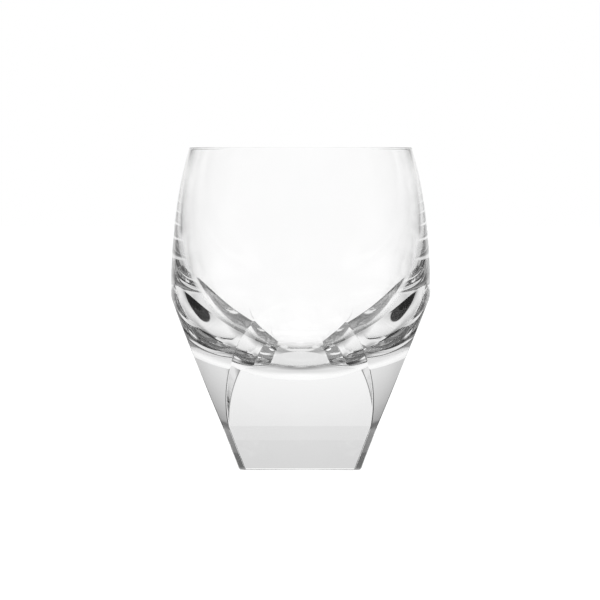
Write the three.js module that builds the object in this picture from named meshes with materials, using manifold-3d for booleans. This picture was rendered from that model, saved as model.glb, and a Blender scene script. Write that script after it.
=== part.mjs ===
// Cut-crystal whiskey tumbler: one solid piece of clear glass.
//
// A round, barrel-shaped body carries a deep round bowl. Four large flat facets,
// ninety degrees apart, taper it down to a square foot, and each one ends at the
// top in an arch where it runs out of the round body. A narrow bevel takes off
// each corner of the foot, and a fine bevel runs round the edge of the underside.
//
// Units are millimetres, +Z is up, and the origin is the centre of the underside.
// One facet faces -Y.

import * as THREE from 'three';
import * as BufferGeometryUtils from 'three/addons/utils/BufferGeometryUtils.js';
import Module from 'manifold-3d';

const wasm = await Module();
wasm.setup();

// Driving dimensions of the round body, outside.
const HEIGHT = 100;
const BODY_RADIUS = 40.55;
const WIDEST_Z = 56;
const LOWER_SEMI_AXIS = 70.6;
const RIM_RADIUS = 34.8;
const LIP_RADIUS = 0.5;

// The bowl. Both powers would be 2 if its lower part were half an ellipse: the first
// is above that for a flatter floor, the second for a straighter wall.
const RIM_WALL = 1.1;
const BOWL_RADIUS = 37.3;
const BOWL_WIDEST_Z = 74.5;
const BOWL_FLOOR_Z = 32.3;
const BOWL_FLOOR_POWER = 2.8;
const BOWL_WALL_POWER = 2.1;

// The cut foot. Each facet leans out a little more above the foot than on it.
const SIDES = 4;
const FOOT_HEIGHT = 13.85;
const FOOT_APOTHEM = 18.8;
const FOOT_SLOPE = 0.376;
const FACET_SLOPE = 0.414;
const BLANK_FOOT_RADIUS = 26.4;
const CORNER_BEVEL_APOTHEM = 25.15;
const CORNER_BEVEL_SLOPE = FOOT_SLOPE * Math.SQRT2;
const BASE_BEVEL = 0.25;

// How finely the round surfaces are divided.
const TURN_SEGMENTS = 72;
const OUTER_STEPS = 20;
const BOWL_STEPS = 22;
const LIP_STEPS = 6;

// Cutting tools reach this far past the glass, and this far below the foot.
const CUTTER_REACH = 60;
const CUTTER_DROP = 6;

// Vertices closer than this are one vertex.
const WELD_DISTANCE = 1e-4;

// Radius at height z of an ellipse of revolution whose widest circle is at widestZ.
function ellipseRadius(z, widestRadius, widestZ, semiAxis) {
  const t = (z - widestZ) / semiAxis;
  return widestRadius * Math.sqrt(Math.max(0, 1 - t * t));
}

// The semi-axis that brings an ellipse of revolution to a given radius at height z.
function semiAxisThrough(z, radius, widestRadius, widestZ) {
  return Math.abs(z - widestZ) / Math.sqrt(1 - (radius / widestRadius) ** 2);
}

function outerRadius(z) {
  const upperSemiAxis = semiAxisThrough(HEIGHT, RIM_RADIUS, BODY_RADIUS, WIDEST_Z);
  const semiAxis = z > WIDEST_Z ? upperSemiAxis : LOWER_SEMI_AXIS;
  return ellipseRadius(z, BODY_RADIUS, WIDEST_Z, semiAxis);
}

// The bowl's own semi-axis above its widest circle.
function bowlUpperSemiAxis() {
  return semiAxisThrough(HEIGHT, RIM_RADIUS - RIM_WALL, BOWL_RADIUS, BOWL_WIDEST_Z);
}

// A point of the bowl's half section. The angle is positive above the widest circle,
// zero on it, and -90 degrees at the centre of the floor.
function bowlPoint(angle) {
  const across = Math.max(0, Math.cos(angle));
  const along = Math.sin(angle);
  if (angle > 0) {
    return new THREE.Vector2(BOWL_RADIUS * across, BOWL_WIDEST_Z + bowlUpperSemiAxis() * along);
  }
  const depth = (BOWL_WIDEST_Z - BOWL_FLOOR_Z) * (-along) ** (2 / BOWL_WALL_POWER);
  return new THREE.Vector2(BOWL_RADIUS * across ** (2 / BOWL_FLOOR_POWER), BOWL_WIDEST_Z - depth);
}

// Half section of the uncut glass: from the centre of the underside, up the outside,
// over the lip and down the bowl to the centre of its floor.
function bodyProfile() {
  const points = [new THREE.Vector2(0, 0), new THREE.Vector2(BLANK_FOOT_RADIUS, 0)];
  const shoulderZ = HEIGHT - LIP_RADIUS;
  for (let i = 0; i <= OUTER_STEPS; i += 1) {
    const z = FOOT_HEIGHT + (shoulderZ - FOOT_HEIGHT) * (i / OUTER_STEPS);
    points.push(new THREE.Vector2(outerRadius(z), z));
  }
  const startAngle = Math.asin((shoulderZ - BOWL_WIDEST_Z) / bowlUpperSemiAxis());
  const innerShoulder = bowlPoint(startAngle).x;
  const lipCentre = (outerRadius(shoulderZ) + innerShoulder) / 2;
  const lipHalfWidth = (outerRadius(shoulderZ) - innerShoulder) / 2;
  for (let i = 1; i < LIP_STEPS; i += 1) {
    const angle = Math.PI * (i / LIP_STEPS);
    const radius = lipCentre + lipHalfWidth * Math.cos(angle);
    points.push(new THREE.Vector2(radius, shoulderZ + LIP_RADIUS * Math.sin(angle)));
  }
  // Equal steps of the bowl's own angle keep the points close where it turns.
  for (let i = 0; i < BOWL_STEPS; i += 1) {
    points.push(bowlPoint(startAngle - (startAngle + Math.PI / 2) * (i / BOWL_STEPS)));
  }
  points.push(new THREE.Vector2(0, BOWL_FLOOR_Z));
  return points;
}

// A closed geometry as a solid that can be cut.
function toSolid(geometry) {
  const bare = geometry.clone();
  bare.deleteAttribute('normal');
  bare.deleteAttribute('uv');
  const merged = BufferGeometryUtils.mergeVertices(bare, WELD_DISTANCE);
  return new wasm.Manifold(new wasm.Mesh({
    numProp: 3,
    vertProperties: new Float32Array(merged.attributes.position.array),
    triVerts: new Uint32Array(merged.index.array),
  }));
}

function toGeometry(solid) {
  const mesh = solid.getMesh();
  const geometry = new THREE.BufferGeometry();
  geometry.setAttribute('position', new THREE.BufferAttribute(new Float32Array(mesh.vertProperties), 3));
  geometry.setIndex(new THREE.BufferAttribute(new Uint32Array(mesh.triVerts), 1));
  geometry.computeVertexNormals();
  return geometry;
}

// Everything outside a line drawn up the glass, as a long bar that faces azimuth.
// The line is a list of [distance from the axis, height] points, lowest first.
function cutter(line, azimuth) {
  const outline = new THREE.Shape();
  const [lowRadius, lowZ] = line[0];
  outline.moveTo(lowRadius, lowZ);
  for (const [radius, z] of line.slice(1)) {
    outline.lineTo(radius, z);
  }
  const [, highZ] = line[line.length - 1];
  outline.lineTo(2 * CUTTER_REACH, highZ);
  outline.lineTo(2 * CUTTER_REACH, lowZ);
  outline.closePath();
  const bar = new THREE.ExtrudeGeometry(outline, { depth: 2 * CUTTER_REACH, bevelEnabled: false });
  bar.translate(0, 0, -CUTTER_REACH);
  bar.rotateX(Math.PI / 2);
  bar.rotateZ(azimuth);
  return toSolid(bar);
}

// The line of one wide facet: the flat of the foot, then the taller flat above it.
function facetLine() {
  const footTop = FOOT_APOTHEM + FOOT_SLOPE * FOOT_HEIGHT;
  return [
    [FOOT_APOTHEM - FOOT_SLOPE * CUTTER_DROP, -CUTTER_DROP],
    [footTop, FOOT_HEIGHT],
    [footTop + FACET_SLOPE * CUTTER_REACH, FOOT_HEIGHT + CUTTER_REACH],
  ];
}

// The line of one narrow bevel on a corner of the foot.
function cornerLine() {
  const top = 2 * FOOT_HEIGHT;
  return [
    [CORNER_BEVEL_APOTHEM - CORNER_BEVEL_SLOPE * CUTTER_DROP, -CUTTER_DROP],
    [CORNER_BEVEL_APOTHEM + CORNER_BEVEL_SLOPE * top, top],
  ];
}

// The line of the fine bevel under an edge whose flat stands at this apothem. It
// leans out at 45 degrees and reaches the underside one bevel's width inside the flat.
function baseBevelLine(apothem) {
  const overshoot = 4 * BASE_BEVEL;
  const start = apothem - BASE_BEVEL;
  return [
    [start - overshoot, -overshoot],
    [start + overshoot, overshoot],
  ];
}

function tumblerSolid() {
  let glass = toSolid(new THREE.LatheGeometry(bodyProfile(), TURN_SEGMENTS).rotateX(Math.PI / 2));
  for (let side = 0; side < SIDES; side += 1) {
    const facetAzimuth = (2 * Math.PI * side) / SIDES;
    const cornerAzimuth = facetAzimuth + Math.PI / SIDES;
    glass = glass.subtract(cutter(facetLine(), facetAzimuth));
    glass = glass.subtract(cutter(cornerLine(), cornerAzimuth));
    glass = glass.subtract(cutter(baseBevelLine(FOOT_APOTHEM), facetAzimuth));
    glass = glass.subtract(cutter(baseBevelLine(CORNER_BEVEL_APOTHEM), cornerAzimuth));
  }
  return glass;
}

// Clear, colourless, polished crystal.
function crystal() {
  return new THREE.MeshStandardMaterial({
    name: 'crystal',
    color: 0xf4f7f8,
    roughness: 0.03,
    metalness: 0,
    transparent: true,
    opacity: 0.35,
  });
}

const tumbler = new THREE.Group();
const glassBody = new THREE.Mesh(toGeometry(tumblerSolid()), crystal());
glassBody.name = 'glass_body';
tumbler.add(glassBody);

export default tumbler;
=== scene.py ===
"""The looks of a cut-crystal whiskey tumbler, built round its CAD solid.

The glass is one piece. The CAD solid has the right size and shape, but its round
surfaces are divided into flat strips, which would show through clear glass. So this
script builds the same glass again with finely divided round surfaces, softly
polished edges and exact surface normals, gives it a crystal material, and stands it
in a plain bright studio.
"""

import math

import bmesh
import bpy
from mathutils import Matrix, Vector


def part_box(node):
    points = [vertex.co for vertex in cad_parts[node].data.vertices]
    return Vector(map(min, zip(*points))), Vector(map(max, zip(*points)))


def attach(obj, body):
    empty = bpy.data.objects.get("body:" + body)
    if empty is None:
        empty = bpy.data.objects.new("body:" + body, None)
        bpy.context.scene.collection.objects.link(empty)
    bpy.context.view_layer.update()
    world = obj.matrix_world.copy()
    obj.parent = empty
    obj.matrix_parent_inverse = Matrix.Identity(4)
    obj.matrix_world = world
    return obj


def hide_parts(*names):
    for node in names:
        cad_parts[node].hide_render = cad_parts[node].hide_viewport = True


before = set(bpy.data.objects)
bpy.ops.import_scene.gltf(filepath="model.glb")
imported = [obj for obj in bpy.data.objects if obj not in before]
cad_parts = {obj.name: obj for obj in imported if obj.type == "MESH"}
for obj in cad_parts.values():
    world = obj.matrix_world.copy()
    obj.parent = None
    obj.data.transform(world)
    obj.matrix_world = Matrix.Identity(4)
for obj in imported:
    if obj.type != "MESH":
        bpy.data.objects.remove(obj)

MM = 0.001
CAD_NODE = "glass_body"
CAD_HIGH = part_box(CAD_NODE)[1]
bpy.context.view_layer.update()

# Round body, outside, in millimetres. Height and width are the CAD solid's own.
HEIGHT = CAD_HIGH.z / MM
BODY_RADIUS = CAD_HIGH.x / MM
WIDEST_Z = 56.0
LOWER_SEMI_AXIS = 70.6
RIM_RADIUS = 34.8
LIP_RADIUS = 0.5
UPPER_SEMI_AXIS = (HEIGHT - WIDEST_Z) / math.sqrt(1 - (RIM_RADIUS / BODY_RADIUS) ** 2)

# The bowl: an ellipse above its widest circle, a superellipse below it.
RIM_WALL = 1.1
BOWL_RADIUS = 37.3
BOWL_WIDEST_Z = 74.5
BOWL_FLOOR_Z = 32.3
BOWL_FLOOR_POWER = 2.8
BOWL_WALL_POWER = 2.1
BOWL_DEPTH = BOWL_WIDEST_Z - BOWL_FLOOR_Z
BOWL_UPPER_SEMI_AXIS = (HEIGHT - BOWL_WIDEST_Z) / math.sqrt(
    1 - ((RIM_RADIUS - RIM_WALL) / BOWL_RADIUS) ** 2
)

# The cut foot: four flats, each with a taller facet above it, and four corner bevels.
SIDES = 4
FOOT_HEIGHT = 13.85
FOOT_APOTHEM = 18.8
FOOT_SLOPE = 0.376
FACET_SLOPE = 0.414
CORNER_BEVEL_APOTHEM = 25.15
CORNER_BEVEL_SLOPE = FOOT_SLOPE * math.sqrt(2)
BASE_BEVEL = 0.25

# How finely the mesh is divided, and how far polishing has rounded the cut edges, in
# millimetres.
HALF_SECTOR_STEPS = 20
FOOT_ROWS = 10
FACET_ROWS = 40
UPPER_ROWS = 30
LIP_ROWS = 8
BOWL_ROWS = 60
EDGE_ROUNDING = 0.3
EDGE_SEGMENTS = 3
ROUND_PROFILE = 0.5
# Vertices closer than this after the rounding are one vertex.
WELD_DISTANCE = 0.001
# The tip of each arch fades out without a rounded edge.
ARCH_TIP = 0.4
# Faces of the bevel under the foot that meet at more than this have an edge between them.
BEND_ANGLE = math.radians(12)
# A point this close to a round surface lies on it, and one this close to the axis has
# no direction from it.
ON_SURFACE = 0.004
ON_AXIS = 1e-6
# Only the big flat cuts have more corners than this.
FLAT_CORNERS = 12
# Times the search for the top of the arches halves its range.
HALVINGS = 60

# Material slots, and the slot of each kind of round surface. All others are cut.
BODY, BOWL, CUT = 0, 1, 2
SMOOTH_KINDS = {"body": BODY, "lip": BODY, "bowl": BOWL}


# ---------------------------------------------------------------- surfaces of the glass


def outer_semi_axis(z):
    return UPPER_SEMI_AXIS if z > WIDEST_Z else LOWER_SEMI_AXIS


def outer_radius(z):
    t = (z - WIDEST_Z) / outer_semi_axis(z)
    return BODY_RADIUS * math.sqrt(max(0.0, 1 - t * t))


def outer_normal(x, y, z):
    across = 1 / BODY_RADIUS**2
    along = (z - WIDEST_Z) / outer_semi_axis(z) ** 2
    return Vector((x * across, y * across, along)).normalized()


def bowl_point(angle):
    """(radius, height) on the bowl: 0 is its widest circle, -90 degrees its floor."""
    across, along = max(0.0, math.cos(angle)), math.sin(angle)
    if angle > 0:
        return BOWL_RADIUS * across, BOWL_WIDEST_Z + BOWL_UPPER_SEMI_AXIS * along
    down = BOWL_DEPTH * (-along) ** (2 / BOWL_WALL_POWER)
    return BOWL_RADIUS * across ** (2 / BOWL_FLOOR_POWER), BOWL_WIDEST_Z - down


def bowl_radius(z):
    if z > BOWL_WIDEST_Z:
        t = (z - BOWL_WIDEST_Z) / BOWL_UPPER_SEMI_AXIS
        return BOWL_RADIUS * math.sqrt(max(0.0, 1 - t * t))
    t = min(1.0, (BOWL_WIDEST_Z - z) / BOWL_DEPTH)
    return BOWL_RADIUS * max(0.0, 1 - t**BOWL_WALL_POWER) ** (1 / BOWL_FLOOR_POWER)


def bowl_normal(x, y, z):
    """The bowl's normal, which points out of the glass and so into the bowl."""
    radius = math.hypot(x, y)
    if radius < ON_AXIS:
        return Vector((0, 0, 1))
    if z > BOWL_WIDEST_Z:
        across = radius / BOWL_RADIUS**2
        along = -(z - BOWL_WIDEST_Z) / BOWL_UPPER_SEMI_AXIS**2
    else:
        depth = (BOWL_WIDEST_Z - z) / BOWL_DEPTH
        across = BOWL_FLOOR_POWER * (radius / BOWL_RADIUS) ** (BOWL_FLOOR_POWER - 1)
        across /= BOWL_RADIUS
        along = BOWL_WALL_POWER * depth ** (BOWL_WALL_POWER - 1) / BOWL_DEPTH
    return Vector((-x / radius * across, -y / radius * across, along)).normalized()


def facet_distance(z):
    """Distance of a flat, or of the facet above it, from the axis at height z."""
    foot = FOOT_APOTHEM + FOOT_SLOPE * min(z, FOOT_HEIGHT)
    return foot + FACET_SLOPE * max(0.0, z - FOOT_HEIGHT)


def corner_distance(z):
    return CORNER_BEVEL_APOTHEM + CORNER_BEVEL_SLOPE * z


def arch_top():
    """Height at which a facet runs out of the round body."""
    low, high = FOOT_HEIGHT, WIDEST_Z + FOOT_HEIGHT
    for _ in range(HALVINGS):
        middle = (low + high) / 2
        if facet_distance(middle) < outer_radius(middle):
            low = middle
        else:
            high = middle
    return low


ARCH_TOP_Z = arch_top()


def half_sector_point(z, share, inset):
    """A point of the outline at height z, between two facets. The facet faces +X, and
    share runs from 0 at the facet's edge to 1 in the middle of the corner."""
    flat = facet_distance(z) - inset
    if z <= FOOT_HEIGHT:
        corner = corner_distance(z) - inset
        edge = corner * math.sqrt(2) - flat
        middle = corner / math.sqrt(2)
        return flat + (middle - flat) * share, edge + (middle - edge) * share
    radius = outer_radius(z)
    start = math.acos(min(1.0, flat / radius)) if z < ARCH_TOP_Z else 0.0
    angle = start + (math.pi / SIDES - start) * share
    return radius * math.cos(angle), radius * math.sin(angle)


def sector(z, inset=0.0):
    """The outline between the edges of two neighbouring facets."""
    steps = range(HALF_SECTOR_STEPS + 1)
    half = [half_sector_point(z, i / HALF_SECTOR_STEPS, inset) for i in steps]
    return half + [(y, x) for x, y in reversed(half[:-1])]


def turned(point, quarter):
    angle = quarter * 2 * math.pi / SIDES
    x, y = point
    c, s = math.cos(angle), math.sin(angle)
    return x * c - y * s, x * s + y * c


# ---------------------------------------------------------------- the fine mesh


class GlassMesh:
    """Gathers the faces of the glass, each with a note of its kind."""

    def __init__(self):
        self.bm = bmesh.new()
        self.kinds = self.bm.faces.layers.string.new("kind")

    def vertex(self, x, y, z):
        return self.bm.verts.new((x * MM, y * MM, z * MM))

    def face(self, corners, kind):
        distinct = list(dict.fromkeys(corners))
        if len(distinct) > 2:
            self.bm.faces.new(distinct)[self.kinds] = kind.encode()

    def kind(self, face):
        return face[self.kinds].decode()

    def ring(self, z, inset=0.0, joined=False):
        """Vertices round the outline at height z, one list for each corner sector.
        Above the arches neighbouring sectors share their end vertices."""
        sectors = []
        for quarter in range(SIDES):
            points = [turned(p, quarter) for p in sector(z, inset)]
            if joined:
                points.pop()
            sectors.append([self.vertex(x, y, z) for x, y in points])
        if joined:
            starts = [s[0] for s in sectors]
            for quarter in range(SIDES):
                sectors[quarter].append(starts[(quarter + 1) % SIDES])
        return sectors

    def strip(self, lower, upper, kind):
        for a, b, c, d in zip(lower, lower[1:], upper[1:], upper):
            self.face([a, b, c, d], kind)

    def circle(self, angles, radius, z):
        return [self.vertex(radius * math.cos(a), radius * math.sin(a), z) for a in angles]


def outer_heights():
    """Heights of the rings, closer together where the arches close. The bevel under the
    foot leans out at 45 degrees, and the first height is where it meets the flats."""
    base_top = BASE_BEVEL / (1 - FOOT_SLOPE)
    shoulder = HEIGHT - LIP_RADIUS
    foot = [base_top + (FOOT_HEIGHT - base_top) * i / FOOT_ROWS for i in range(FOOT_ROWS + 1)]
    rise = ARCH_TOP_Z - FOOT_HEIGHT
    arch = [
        FOOT_HEIGHT + rise * (1 - (1 - i / FACET_ROWS) ** 2) for i in range(1, FACET_ROWS + 1)
    ]
    above = [
        ARCH_TOP_Z + (shoulder - ARCH_TOP_Z) * i / UPPER_ROWS for i in range(1, UPPER_ROWS + 1)
    ]
    return foot, arch, above


def add_outside(glass):
    """Foot, facets and round body. Returns the top ring as one closed list."""
    foot, arch, above = outer_heights()
    rings = [glass.ring(0.0, inset=BASE_BEVEL)]
    rings += [glass.ring(z) for z in foot + arch[:-1]]
    rings += [glass.ring(z, joined=True) for z in arch[-1:] + above]
    foot_top = len(foot)
    arch_ring = len(foot) + len(arch)
    for level, (lower, upper) in enumerate(zip(rings, rings[1:])):
        kind = "body"
        if level == 0:
            kind = "base_bevel"
        elif level < foot_top:
            kind = "corner_bevel"
        for quarter in range(SIDES):
            glass.strip(lower[quarter], upper[quarter], kind)
    for quarter in range(SIDES):
        following = (quarter + 1) % SIDES
        left = [ring[quarter][-1] for ring in rings[: arch_ring + 1]]
        right = [ring[following][0] for ring in rings[: arch_ring + 1]]
        glass.face([left[0], right[0], right[1], left[1]], "base_bevel")
        glass.face(right[1 : foot_top + 1] + left[foot_top:0:-1], "foot_flat")
        glass.face(right[foot_top:] + left[arch_ring - 1 : foot_top - 1 : -1], "facet")
    underside = [v for sector_ring in rings[0] for v in sector_ring]
    glass.face(underside[::-1], "underside")
    return [v for sector_ring in rings[-1] for v in sector_ring[:-1]]


def add_inside(glass, top_ring):
    """The rounded lip and the bowl, down to the centre of its floor."""
    turn = 2 * math.pi / SIDES
    angles = [
        quarter * turn + turn / 2 * i / HALF_SECTOR_STEPS
        for quarter in range(SIDES)
        for i in range(2 * HALF_SECTOR_STEPS)
    ]
    shoulder = HEIGHT - LIP_RADIUS
    start = math.asin((shoulder - BOWL_WIDEST_Z) / BOWL_UPPER_SEMI_AXIS)
    outside, inside = outer_radius(shoulder), bowl_point(start)[0]
    rows = []
    for i in range(1, LIP_ROWS):
        lip = math.pi * i / LIP_ROWS
        radius = (outside + inside) / 2 + (outside - inside) / 2 * math.cos(lip)
        rows.append((radius, shoulder + LIP_RADIUS * math.sin(lip), "lip"))
    for i in range(BOWL_ROWS):
        angle = start - (start + math.pi / 2) * i / BOWL_ROWS
        rows.append((*bowl_point(angle), "bowl" if i else "lip"))
    previous = top_ring
    for radius, z, kind in rows:
        current = glass.circle(angles, radius, z)
        glass.strip(previous + previous[:1], current + current[:1], kind)
        previous = current
    centre = glass.vertex(0, 0, BOWL_FLOOR_Z)
    for a, b in zip(previous, previous[1:] + previous[:1]):
        glass.face([a, b, centre], "bowl")


def is_cut_edge(glass, edge):
    """True where two differently cut surfaces meet, which leaves an edge."""
    one, other = (glass.kind(f) for f in edge.link_faces)
    if one in SMOOTH_KINDS and other in SMOOTH_KINDS:
        return False
    if min(v.co.z for v in edge.verts) > (ARCH_TOP_Z - ARCH_TIP) * MM:
        return False
    if one != other:
        return {one, other} not in ({"foot_flat", "facet"}, {"corner_bevel", "body"})
    return one == "base_bevel" and edge.calc_face_angle() > BEND_ANGLE


def surface_normal(co):
    """The exact normal of the round surface a vertex lies on, or None on a cut or the lip."""
    x, y, z = co / MM
    radius = math.hypot(x, y)
    if z > HEIGHT - LIP_RADIUS + ON_SURFACE:
        return None
    if z >= BOWL_FLOOR_Z - ON_SURFACE and abs(radius - bowl_radius(z)) < ON_SURFACE:
        return bowl_normal(x, y, z)
    if z > FOOT_HEIGHT and abs(radius - outer_radius(z)) < ON_SURFACE:
        return outer_normal(x, y, z)
    return None


def set_normals(mesh):
    """Exact normals on the round surfaces, flat ones on the big cut faces, and a
    rounding between them that starts level with the flat it leaves."""
    flats = {}
    for polygon in mesh.polygons:
        if len(polygon.vertices) > FLAT_CORNERS:
            for index in polygon.vertices:
                flats.setdefault(index, []).append(polygon.normal.copy())
    smooth = [surface_normal(v.co) or v.normal.copy() for v in mesh.vertices]
    normals = [None] * len(mesh.loops)
    for polygon in mesh.polygons:
        own = polygon.normal.copy()
        for loop in polygon.loop_indices:
            index = mesh.loops[loop].vertex_index
            if len(polygon.vertices) > FLAT_CORNERS:
                normals[loop] = own
            elif index in flats:
                normals[loop] = max(flats[index], key=own.dot)
            else:
                normals[loop] = smooth[index]
    mesh.normals_split_custom_set(normals)


def make_tumbler(materials):
    glass = GlassMesh()
    add_inside(glass, add_outside(glass))
    bm = glass.bm
    bmesh.ops.recalc_face_normals(bm, faces=bm.faces)
    for face in bm.faces:
        face.smooth = True
        face.material_index = SMOOTH_KINDS.get(glass.kind(face), CUT)
    bmesh.ops.bevel(
        bm,
        geom=[e for e in bm.edges if is_cut_edge(glass, e)],
        offset=EDGE_ROUNDING * MM,
        offset_type="OFFSET",
        segments=EDGE_SEGMENTS,
        profile=ROUND_PROFILE,
        affect="EDGES",
        clamp_overlap=False,
        material=CUT,
    )
    bmesh.ops.remove_doubles(bm, verts=bm.verts, dist=WELD_DISTANCE * MM)
    bm.faces.layers.string.remove(glass.kinds)
    mesh = bpy.data.meshes.new("tumbler_glass")
    bm.to_mesh(mesh)
    bm.free()
    for material in materials:
        mesh.materials.append(material)
    set_normals(mesh)
    tumbler = bpy.data.objects.new("tumbler_glass", mesh)
    bpy.context.scene.collection.objects.link(tumbler)
    return tumbler


# ---------------------------------------------------------------- node helpers


class Nodes:
    """A short way to write a node tree."""

    def __init__(self, tree):
        self.tree = tree
        tree.nodes.clear()

    def add(self, kind, settings=None, **inputs):
        """A node with its properties from settings. An input is a value or a socket, and
        its name is the socket's in lower case with _ for spaces, or i0, i1 by number."""
        node = self.tree.nodes.new(kind)
        for name, value in (settings or {}).items():
            setattr(node, name, value)
        for name, value in inputs.items():
            if name[0] == "i" and name[1:].isdigit():
                socket = node.inputs[int(name[1:])]
            else:
                socket = next(
                    s for s in node.inputs if s.name.lower().replace(" ", "_") == name
                )
            if isinstance(value, bpy.types.NodeSocket):
                self.tree.links.new(value, socket)
            else:
                socket.default_value = value
        return node

    def math(self, operation, *values):
        inputs = {f"i{i}": v for i, v in enumerate(values)}
        return self.add("ShaderNodeMath", {"operation": operation}, **inputs).outputs[0]

    def mix(self, share, low, high):
        settings = {"data_type": "FLOAT"}
        return self.add("ShaderNodeMix", settings, i0=share, i2=low, i3=high).outputs[0]

    def length(self, *values):
        squares = [self.math("MULTIPLY", value, value) for value in values]
        return self.math("SQRT", self.math("ADD", *squares))

    def ramp(self, value, start, end, low=0.0, high=1.0):
        """low up to start, high from end on, and straight between them."""
        node = self.add("ShaderNodeMapRange", i0=value, i1=start, i2=end, i3=low, i4=high)
        return node.outputs[0]

    def curve(self, value, points):
        """A piecewise linear function of value, through (position, tone) points."""
        first, last = points[0][0], points[-1][0]
        node = self.add("ShaderNodeValToRGB", i0=self.ramp(value, first, last))
        elements = node.color_ramp.elements
        elements.remove(elements[1])
        for i, (position, tone) in enumerate(points):
            share = (position - first) / (last - first)
            element = elements[0] if i == 0 else elements.new(share)
            element.position = share
            element.color = (tone, tone, tone, 1)
        return node.outputs[0]


# ---------------------------------------------------------------- crystal


CRYSTAL_IOR = 1.515
CRYSTAL_SMOOTHEST = 0.0
CRYSTAL_ROUGHEST = 0.012
# The value of the marks' noise up to which the glass is smoothest, and from which on it
# is roughest.
MARKS_RANGE = (0.35, 0.75)
WAVE_NOISE = {"detail": 1.5, "roughness": 0.45}
MARKS_NOISE = {"detail": 4.0, "roughness": 0.6}

# The finish of each kind of surface. The waviness is its height in metres. The scales
# are noise scales, and the stretch draws the waves out up the glass.
BODY_FINISH = {
    "waviness": 0.000002, "wave_scale": 60.0, "stretch": (1.0, 1.0, 0.15), "polish_scale": 900.0,
}
BOWL_FINISH = {
    "waviness": 0.000004, "wave_scale": 60.0, "stretch": (1.0, 1.0, 0.15), "polish_scale": 900.0,
}
CUT_FINISH = {
    "waviness": 0.000001, "wave_scale": 40.0, "stretch": (1.0, 1.0, 1.0), "polish_scale": 1400.0,
}


def crystal_material(name, waviness, wave_scale, stretch, polish_scale):
    """Clear crystal. A long soft waviness bends what is seen through it, as real glass
    does, and fine polishing marks vary its gloss."""
    material = bpy.data.materials.new(name)
    material.use_nodes = True
    nodes = Nodes(material.node_tree)
    place = nodes.add("ShaderNodeTexCoord").outputs["Object"]
    stretched = nodes.add("ShaderNodeMapping", vector=place, scale=stretch).outputs[0]
    waves = nodes.add(
        "ShaderNodeTexNoise", vector=stretched, scale=wave_scale, **WAVE_NOISE
    ).outputs[0]
    bump = nodes.add("ShaderNodeBump", strength=1.0, distance=waviness, height=waves).outputs[0]
    marks = nodes.add(
        "ShaderNodeTexNoise", vector=place, scale=polish_scale, **MARKS_NOISE
    ).outputs[0]
    gloss = nodes.ramp(marks, *MARKS_RANGE, CRYSTAL_SMOOTHEST, CRYSTAL_ROUGHEST)
    shader = nodes.add(
        "ShaderNodeBsdfPrincipled",
        base_color=(1.0, 1.0, 1.0, 1.0),
        roughness=gloss,
        normal=bump,
    )
    shader.inputs["Transmission Weight"].default_value = 1.0
    shader.inputs["IOR"].default_value = CRYSTAL_IOR
    nodes.add("ShaderNodeOutputMaterial", surface=shader.outputs[0])
    return material


# ---------------------------------------------------------------- studio

# The glass stands on a bright floor inside a round light tent. The camera sees both as plain
# white. The floor is no lamp, but it glows: its glow is painted light, with painted shade under
# the foot. What the glass refracts straight through is the tent's own soft gradient, the same on
# all four sides. What it reflects inside itself is a studio that is bright behind the glass and
# dark either side of it and behind the camera. On the floor that light and shade is painted, with
# a painted shadow round the foot and painted flag shadows either side. Lengths are in metres, and
# the lamp's power is in watts.
TENT_RADIUS = 0.4
TENT_HEIGHT = 0.42
TENT_SEGMENTS = 96
FLOOR_SIZE = 12.0
FLOOR_GAP = 0.0001
ROOM_ABOVE = 0.3
LAMP_SIZE = 0.5
LAMP_HEIGHT = 1.2
LAMP_POWER = 0.5

# Straight through, low down: bright, and a little dimmer along eight seams.
BRIGHT = 1.12
SEAM_TONE = 0.93
SEAM_START = 10.0
SEAM_TURN = 22.5
# Painted shade on the floor under the foot, as seen straight through the glass.
PAINTED_FOOT_SHADE_THROUGH = 0.95
GRADIENT_START = 0.125

# Straight through, higher up: (height in metres, brightness), facing a facet and facing
# a corner, and the brightness in the gap between. The turns are degrees from the facet.
FACING_FACET = [
    (0.0, 1.1), (0.115, 1.1), (0.133, 0.63), (0.15, 0.71), (0.18, 0.81), (0.21, 1.0), (0.42, 1.0),
]
FACING_CORNER = [
    (0.0, 1.1), (0.115, 1.1), (0.13, 0.8), (0.17, 0.8), (0.2, 0.6), (0.235, 0.35), (0.25, 0.12),
    (0.265, 0.12), (0.3, 0.28), (0.42, 0.3),
]
FACING_GAP = 0.2
FACET_TURN = (5.0, 8.0)
CORNER_TURN = (14.0, 18.0)
HALF_QUARTER = 45.0

# What is reflected: the brightness of each zone of the studio, as (turn, brightness). On the floor
# these tones are painted light and shade: bright where the floor is lit behind the glass, painted
# shade either side and on the camera side, and painted shade and shadow round the foot. The turn
# is degrees from straight behind the glass, and both sides are alike.
# Painted shade on the floor under the foot.
PAINTED_FOOT_SHADE_REFLECTED = [(0, 0.82), (180, 0.82)]
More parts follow.
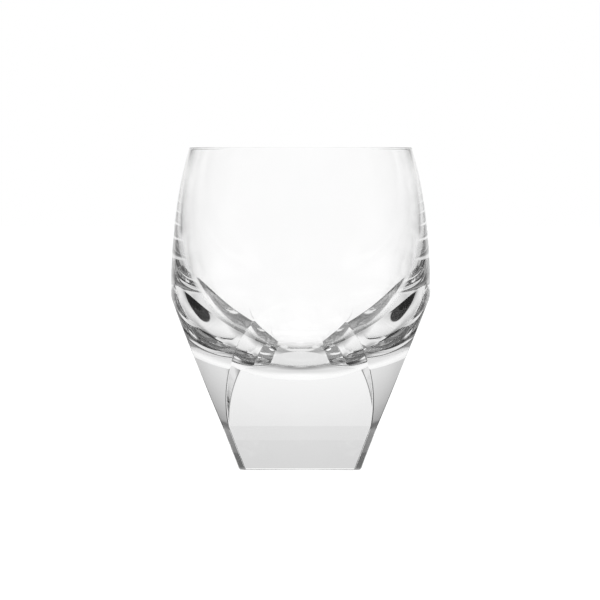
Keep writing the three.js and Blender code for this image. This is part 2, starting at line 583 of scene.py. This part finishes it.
# Painted shadow on the floor round the foot, darkest behind it and on the camera side.
FOOT_SHADOW_RING = [(0, 0.25), (48, 0.35), (60, 0.95), (110, 1.0), (140, 0.5), (180, 0.2)]
NEAR_FLOOR = [(0, 0.75), (30, 0.8), (48, 0.4), (62, 0.85), (110, 1.0), (135, 0.1), (180, 0.5)]
MIDDLE_FLOOR = [
    (0, 1.0), (24, 0.9), (34, 0.65), (54, 0.9), (70, 0.85), (88, 0.35), (108, 0.45), (135, 0.2),
    (180, 0.4),
]
OUTER_FLOOR = [(0, 1.05), (32, 0.95), (50, 0.85), (60, 0.03), (88, 0.03), (96, 0.3), (180, 0.1)]
TENT_FOOT = [
    (0, 1.05), (30, 0.95), (38, 0.25), (52, 0.25), (57, 0.02), (82, 0.04), (92, 0.35), (108, 0.35),
    (125, 0.1), (180, 0.05),
]
TENT_MIDDLE = [(0, 1.05), (50, 0.8), (60, 0.3), (96, 0.45), (115, 0.15), (180, 0.1)]
TENT_TOP = [(0, 0.9), (12, 0.65), (36, 0.25), (58, 0.55), (96, 0.3), (120, 0.1), (180, 0.15)]

# Where the zones are, going outwards: metres across the floor, then on up the tent's
# wall. A zone listed twice fills the stretch between, and the others blend.
STUDIO = [
    (0.019, PAINTED_FOOT_SHADE_REFLECTED), (0.0195, FOOT_SHADOW_RING), (0.035, NEAR_FLOOR), (0.045, NEAR_FLOOR),
    (0.08, MIDDLE_FLOOR), (0.14, OUTER_FLOOR), (0.3, OUTER_FLOOR), (0.4, TENT_FOOT),
    (0.47, TENT_FOOT), (0.51, TENT_MIDDLE), (0.55, TENT_TOP),
]

# Painted shadow either side of the glass: a dark strip on the floor where dark flags beside the
# glass would shade it, round at its near end and widening outwards. In metres, and only for what
# the glass reflects inside itself.
FLAG_SHADOW_START = Vector((0.0675, 0.0105))
FLAG_SHADOW_DIRECTION = Vector((0.78, 0.625)).normalized()
FLAG_SHADOW_LENGTH = 0.286
FLAG_SHADOW_HALF_WIDTHS = (0.014, 0.021)
FLAG_SHADOW_WIDENING = (-0.014, 0.046)
FLAG_SHADOW_EDGE = 0.0025
FLAG_SHADOW_TONE = 0.02


def ray_kinds(nodes):
    """Two sockets: 1 for what the camera sees, and 1 for what has been reflected."""
    path = nodes.add("ShaderNodeLightPath")
    return path.outputs["Is Camera Ray"], nodes.math("MINIMUM", path.outputs["Glossy Depth"], 1.0)


def azimuth_of(nodes, x, y):
    """Degrees from straight behind the glass, 0 to 180, the same to left and right."""
    return nodes.math("DEGREES", nodes.math("ARCTAN2", nodes.math("ABSOLUTE", x), y))


def glow_material(name, tone_at):
    """A glowing surface: plain white to the camera, and tone_at's tone to the glass. The tent is
    the studio's light; the floor is no lamp, and its glow is painted light and shade.
    """
    material = bpy.data.materials.new(name)
    material.use_nodes = True
    nodes = Nodes(material.node_tree)
    position = nodes.add("ShaderNodeNewGeometry").outputs["Position"]
    place = nodes.add("ShaderNodeSeparateXYZ", vector=position).outputs
    seen, reflected = ray_kinds(nodes)
    tone = tone_at(nodes, place, reflected)
    glow = nodes.add("ShaderNodeEmission", color=nodes.math("MAXIMUM", tone, seen), strength=1.0)
    nodes.add("ShaderNodeOutputMaterial", surface=glow.outputs[0])
    return material


def studio_tone(nodes, azimuth, station):
    """The brightness of the studio at a station, blended from one curve to the next."""
    tone = nodes.curve(azimuth, STUDIO[0][1])
    for (start, _), (end, turn) in zip(STUDIO, STUDIO[1:]):
        tone = nodes.mix(nodes.ramp(station, start, end), tone, nodes.curve(azimuth, turn))
    return tone


def tent_tone(nodes, place, reflected):
    x, y, z = place
    azimuth = azimuth_of(nodes, x, y)
    to_facet = nodes.math("PINGPONG", azimuth, HALF_QUARTER)
    by_corner = nodes.ramp(to_facet, *CORNER_TURN)
    by_gap = nodes.ramp(to_facet, *FACET_TURN)
    facet = nodes.curve(z, FACING_FACET)
    gap = nodes.math("MINIMUM", facet, FACING_GAP)
    beside = nodes.mix(by_corner, gap, nodes.curve(z, FACING_CORNER))
    high = nodes.mix(by_gap, facet, beside)
    seam = nodes.ramp(nodes.math("PINGPONG", azimuth, SEAM_TURN), SEAM_START, SEAM_TURN)
    low = nodes.mix(seam, BRIGHT, BRIGHT * SEAM_TONE)
    through = nodes.mix(nodes.math("GREATER_THAN", z, GRADIENT_START), low, high)
    station = nodes.math("ADD", z, TENT_RADIUS)
    return nodes.mix(reflected, through, studio_tone(nodes, azimuth, station))


def flag_shadow_share(nodes, x, y):
    """1 on the painted flag shadows and 0 off them."""
    out = nodes.math("SUBTRACT", nodes.math("ABSOLUTE", x), FLAG_SHADOW_START.x)
    back = nodes.math("SUBTRACT", y, FLAG_SHADOW_START.y)
    dx, dy = FLAG_SHADOW_DIRECTION
    along = nodes.math("ADD", nodes.math("MULTIPLY", out, dx), nodes.math("MULTIPLY", back, dy))
    off = nodes.math(
        "SUBTRACT", nodes.math("MULTIPLY", back, dx), nodes.math("MULTIPLY", out, dy)
    )
    distance = nodes.length(off, nodes.math("MINIMUM", along, 0.0))
    half_width = nodes.ramp(along, *FLAG_SHADOW_WIDENING, *FLAG_SHADOW_HALF_WIDTHS)
    inside = nodes.math("SUBTRACT", half_width, distance)
    within = nodes.ramp(inside, -FLAG_SHADOW_EDGE / 2, FLAG_SHADOW_EDGE / 2)
    return nodes.math("MULTIPLY", within, nodes.math("LESS_THAN", along, FLAG_SHADOW_LENGTH))


def floor_tone(nodes, place, reflected):
    x, y = place[:2]
    radius = nodes.length(x, y)
    # Under the foot the floor gets painted shade.
    foot_shade_share = nodes.math("LESS_THAN", radius, STUDIO[0][0])
    through = nodes.mix(foot_shade_share, BRIGHT, PAINTED_FOOT_SHADE_THROUGH)
    # What the glass reflects of the floor is painted light and shade.
    studio = studio_tone(nodes, azimuth_of(nodes, x, y), radius)
    # Painted shade: the flag shadows darken the floor either side of the glass.
    return nodes.mix(reflected, through, nodes.mix(flag_shadow_share(nodes, x, y), studio, FLAG_SHADOW_TONE))


def add_world():
    """The air above the tent."""
    world = bpy.data.worlds.new("studio")
    bpy.context.scene.world = world
    world.use_nodes = True
    nodes = Nodes(world.node_tree)
    seen, _ = ray_kinds(nodes)
    tone = nodes.math("MAXIMUM", seen, ROOM_ABOVE)
    background = nodes.add("ShaderNodeBackground", color=tone, strength=1.0)
    nodes.add("ShaderNodeOutputWorld", surface=background.outputs[0])


def add_floor():
    half = FLOOR_SIZE / 2
    corners = [(-half, -half), (half, -half), (half, half), (-half, half)]
    mesh = bpy.data.meshes.new("floor")
    mesh.from_pydata([(x, y, -FLOOR_GAP) for x, y in corners], [], [(0, 1, 2, 3)])
    mesh.materials.append(glow_material("floor", floor_tone))
    floor = bpy.data.objects.new("floor", mesh)
    bpy.context.scene.collection.objects.link(floor)


def add_tent():
    bm = bmesh.new()
    bmesh.ops.create_cone(
        bm, cap_ends=False, segments=TENT_SEGMENTS,
        radius1=TENT_RADIUS, radius2=TENT_RADIUS, depth=TENT_HEIGHT,
    )
    bmesh.ops.translate(bm, verts=bm.verts, vec=(0, 0, TENT_HEIGHT / 2 - FLOOR_GAP))
    mesh = bpy.data.meshes.new("tent")
    bm.to_mesh(mesh)
    bm.free()
    mesh.materials.append(glow_material("tent", tent_tone))
    tent = bpy.data.objects.new("tent", mesh)
    tent.visible_camera = False
    bpy.context.scene.collection.objects.link(tent)


def add_lamp():
    """A wide soft lamp straight above the tent."""
    data = bpy.data.lights.new("soft_lamp", "AREA")
    data.shape = "DISK"
    data.size = LAMP_SIZE
    data.energy = LAMP_POWER
    lamp = bpy.data.objects.new("soft_lamp", data)
    lamp.location = (0, 0, LAMP_HEIGHT)
    lamp.visible_camera = False
    bpy.context.scene.collection.objects.link(lamp)


# ---------------------------------------------------------------- camera

# The camera stands level with the rim and turned a little round the glass. Lengths are
# in metres, apart from the sensor's width in millimetres. The view's width and centre
# are taken where the glass stands.
SENSOR_WIDTH = 36.0
CAMERA_REACH = 100.0
CAMERA_DISTANCE = 2.0
CAMERA_HEIGHT = HEIGHT * MM
CAMERA_TURN = math.radians(0.6)
VIEW_WIDTH = 0.1875
VIEW_CENTRE_Z = 0.0523
VIEW_CENTRE_X = -0.0002
# Enough bounces for light to cross thick glass.
LIGHT_BOUNCES = 32


def add_camera():
    data = bpy.data.cameras.new("camera")
    data.sensor_width = SENSOR_WIDTH
    data.lens = data.sensor_width * CAMERA_DISTANCE / VIEW_WIDTH
    data.clip_end = CAMERA_REACH
    camera = bpy.data.objects.new("camera", data)
    across = Vector((math.cos(CAMERA_TURN), math.sin(CAMERA_TURN), 0))
    back = Vector((math.sin(CAMERA_TURN), -math.cos(CAMERA_TURN), 0))
    target = across * VIEW_CENTRE_X + Vector((0, 0, VIEW_CENTRE_Z))
    foot = across * VIEW_CENTRE_X + back * CAMERA_DISTANCE
    camera.location = foot + Vector((0, 0, CAMERA_HEIGHT))
    camera.rotation_euler = (target - camera.location).to_track_quat("-Z", "Y").to_euler()
    bpy.context.scene.collection.objects.link(camera)
    bpy.context.scene.camera = camera


def set_view():
    """Plain colours and long light paths."""
    scene = bpy.context.scene
    scene.view_settings.view_transform = "Standard"
    scene.cycles.max_bounces = LIGHT_BOUNCES
    scene.cycles.transmission_bounces = LIGHT_BOUNCES
    scene.cycles.glossy_bounces = LIGHT_BOUNCES


def main():
    materials = [
        crystal_material("crystal_body", **BODY_FINISH),
        crystal_material("crystal_bowl", **BOWL_FINISH),
        crystal_material("crystal_cut", **CUT_FINISH),
    ]
    tumbler = make_tumbler(materials)
    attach(tumbler, "root")
    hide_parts(CAD_NODE)
    add_world()
    add_floor()
    add_tent()
    add_lamp()
    add_camera()
    set_view()


main()
